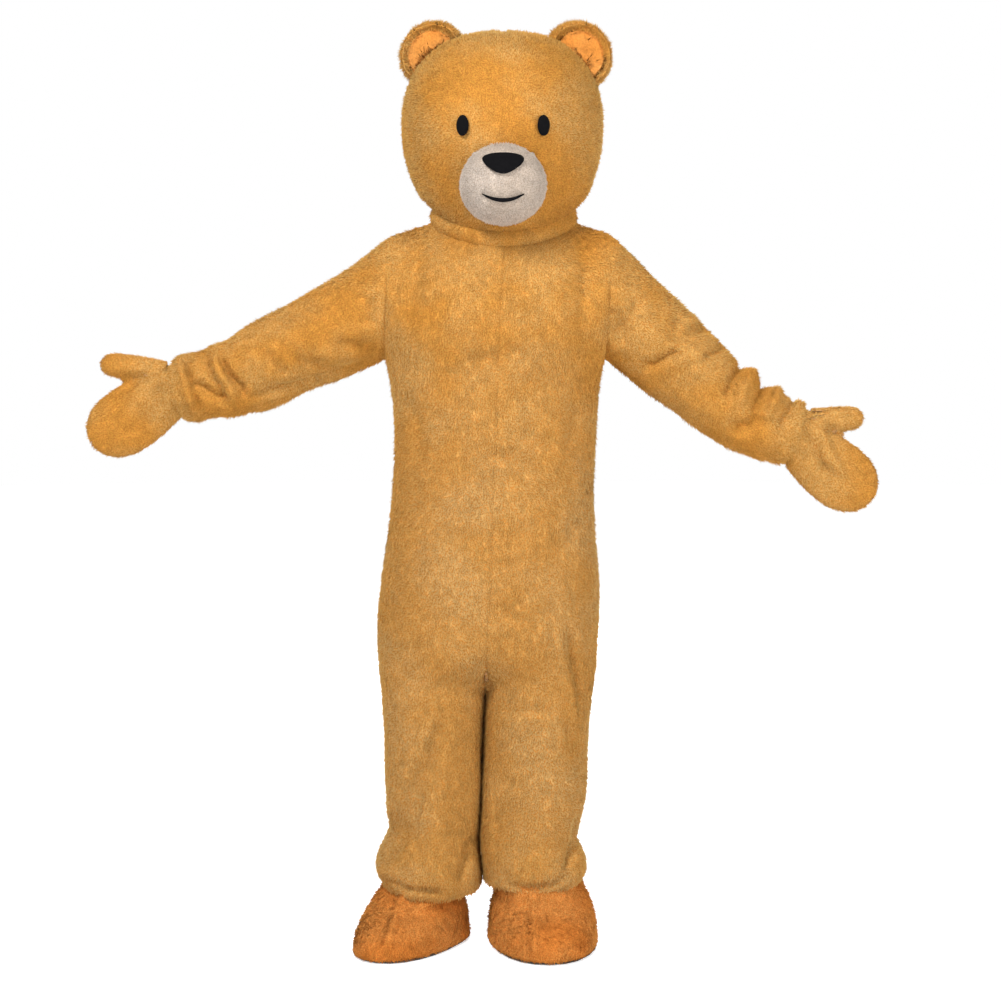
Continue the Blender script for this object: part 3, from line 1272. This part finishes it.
stop_bm = bmesh.new()
bmesh.ops.create_grid(stop_bm, x_segments=STOP_COLUMNS, y_segments=STOP_ROWS, size=0.5)
for vertex in stop_bm.verts:
    down = 0.5 - vertex.co.y
    height = STOP_TOP - STOP_LONG * down
    middle = STOP_X[0] + (STOP_X[1] - STOP_X[0]) * down
    across = middle - vertex.co.x * (STOP_WIDE + (STOP_NARROW - STOP_WIDE) * down**2)
    vertex.co = (across, back_face(middle, height) - STOP_SUNK, height)
bmesh.ops.solidify(stop_bm, geom=stop_bm.faces[:], thickness=STOP_THICK)
bmesh.ops.recalc_face_normals(stop_bm, faces=stop_bm.faces)
zip_pieces.append((from_bmesh("zip_stop", stop_bm), TAPE, "zip_tape"))
print("zip stop:", round(1000 * STOP_LONG), "mm long")

# %% [markdown]
# Only the pull tab moves, and it is a solid of the model. All that is made here is cloth or sewn to
# cloth, so it rides on the costume, and each piece of cloth or felt stands for its plain solid.

# %% Riding and replacing
for piece, material, slot in zip_pieces:
    piece.data.materials.append(material)
    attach(piece, "costume")
for name, piece in cloth.items():
    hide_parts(name)
    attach(piece, "costume")
    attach(piles[name], "costume")
for name, piece in felt.items():
    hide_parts(name)
    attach(piece, "costume")
print("riding:", len(zip_pieces) + 2 * len(cloth) + len(felt), "pieces")

# %% [markdown]
# Every sheet says what it was cut to, flat on the table, before it was sewn and worn. The sleeve
# and the neck band are cut as one piece all round. The head, ears, muzzle and boots are padded.


# %% [markdown]
# A plain pale floor and soft light from large lamps, as in a studio. The key lamp stands high in
# front on the left, a weak fill opens the shadows on the right, and one behind lights the outline.
# The floor and the world look white to the camera alone, so that they don't flood the pile.

# %% Floor and light
FLOOR_REACH, FLOOR_LIFT = 16.0, 0.6
WORLD_LIGHT, WORLD_SEEN = 0.45, 1.0
MIDDLE = (0, 0, -0.5)
floor_bm = bmesh.new()
bmesh.ops.create_circle(floor_bm, cap_ends=True, segments=96, radius=FLOOR_REACH)
bmesh.ops.translate(floor_bm, verts=floor_bm.verts, vec=(0, 0, FLOOR_Z))
floor = from_bmesh("floor", floor_bm, smooth=False)
pale_floor = grained("pale_floor", linear(254, 254, 254), linear(251, 251, 251), 3, 0.9, 0.02)
floor_tree = pale_floor.node_tree
seen = add_node(floor_tree, "ShaderNodeLightPath").outputs["Is Camera Ray"]
lift = between(floor_tree, seen, 0, 1, 0, FLOOR_LIFT)
feed(floor_tree, floor_tree.nodes["Principled BSDF"], {
    "Emission Color": (1, 1, 1, 1), "Emission Strength": lift,
})
floor.data.materials.append(pale_floor)
floor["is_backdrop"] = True


def soft_lamp(name, place, aim, size, watts):
    data = bpy.data.lights.new(name, "AREA")
    data.shape = "DISK"
    data.size = size
    data.energy = watts
    lamp = bpy.data.objects.new(name, data)
    lamp.location = place
    lamp.rotation_euler = (Vector(aim) - Vector(place)).to_track_quat("-Z", "Y").to_euler()
    bpy.context.scene.collection.objects.link(lamp)


# name, place, aim, size across, watts
LAMPS = (
    ("key", (-2.2, -4.4, 3.2), MIDDLE, 1.8, 342),
    ("fill", (3.2, -4.6, 0.8), MIDDLE, 3.0, 170),
    ("behind", (1.0, 5.0, 2.4), MIDDLE, 2.4, 260),
)
for lamp in LAMPS:
    soft_lamp(*lamp)
world = bpy.data.worlds.new("studio")
world.use_nodes = True
seen = add_node(world.node_tree, "ShaderNodeLightPath").outputs["Is Camera Ray"]
strength = between(world.node_tree, seen, 0, 1, WORLD_LIGHT, WORLD_SEEN)
feed(world.node_tree, world.node_tree.nodes["Background"], {
    "Color": (1, 1, 1, 1), "Strength": strength,
})
bpy.context.scene.world = world
bpy.context.scene.view_settings.view_transform = "Standard"
print("watts in all:", sum(lamp[-1] for lamp in LAMPS))

# %% [markdown]
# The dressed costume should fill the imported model's box and hardly pass it. Both boxes are written
# side by side, and the growth is printed for each side of the box.

# %% Sizes and the end
shown = [piece for piece in bpy.data.objects if piece.type == "MESH" and not piece.hide_render]
print("triangles:", sum(len(face.vertices) - 2 for piece in shown for face in piece.data.polygons))
low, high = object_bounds()
grown = [round(1000 * (far - near), 1) for far, near in zip((*cad_low, *high), (*low, *cad_high))]
print("grown by, in mm:", grown)
